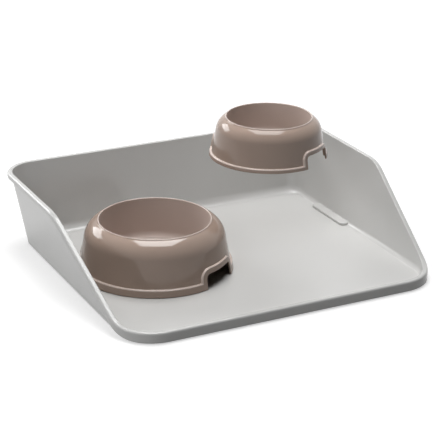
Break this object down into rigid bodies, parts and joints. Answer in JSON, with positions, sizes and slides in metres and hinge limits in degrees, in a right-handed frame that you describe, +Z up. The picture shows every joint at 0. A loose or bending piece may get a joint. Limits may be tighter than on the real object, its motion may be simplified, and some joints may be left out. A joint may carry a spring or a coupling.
{
  "type": "double pet bowl",
  "caption": "Feeding tray with a high back, sloping sides and a low front, holding two round moulded pet bowls that lift out by grip notches.",
  "frame": {"origin": "on the ground under the middle of the tray's outline", "axes": "+X across the tray to the right, +Y from the low front to the high back, +Z up"},
  "size_m": [0.4478, 0.3722, 0.1565],
  "materials": {
    "tray_plastic": "satin light grey moulded plastic",
    "bowl_plastic": "glossy taupe moulded plastic",
    "foot_rubber": "matt grey anti-slip rubber"
  },
  "bodies": {
    "tray": {"tray": "tray_plastic", "tray_feet": "foot_rubber"},
    "large_bowl": {"large_bowl": "bowl_plastic", "large_bowl_feet": "foot_rubber"},
    "small_bowl": {"small_bowl": "bowl_plastic", "small_bowl_feet": "foot_rubber"}
  },
  "joints": [
    {"name": "large_bowl_lift", "type": "slide", "parent": "tray", "child": "large_bowl", "axis": [0, 0, 1], "range_m": [0, 0.12]},
    {"name": "small_bowl_lift", "type": "slide", "parent": "tray", "child": "small_bowl", "axis": [0, 0, 1], "range_m": [-0.1005, 0.0195]}
  ]
}
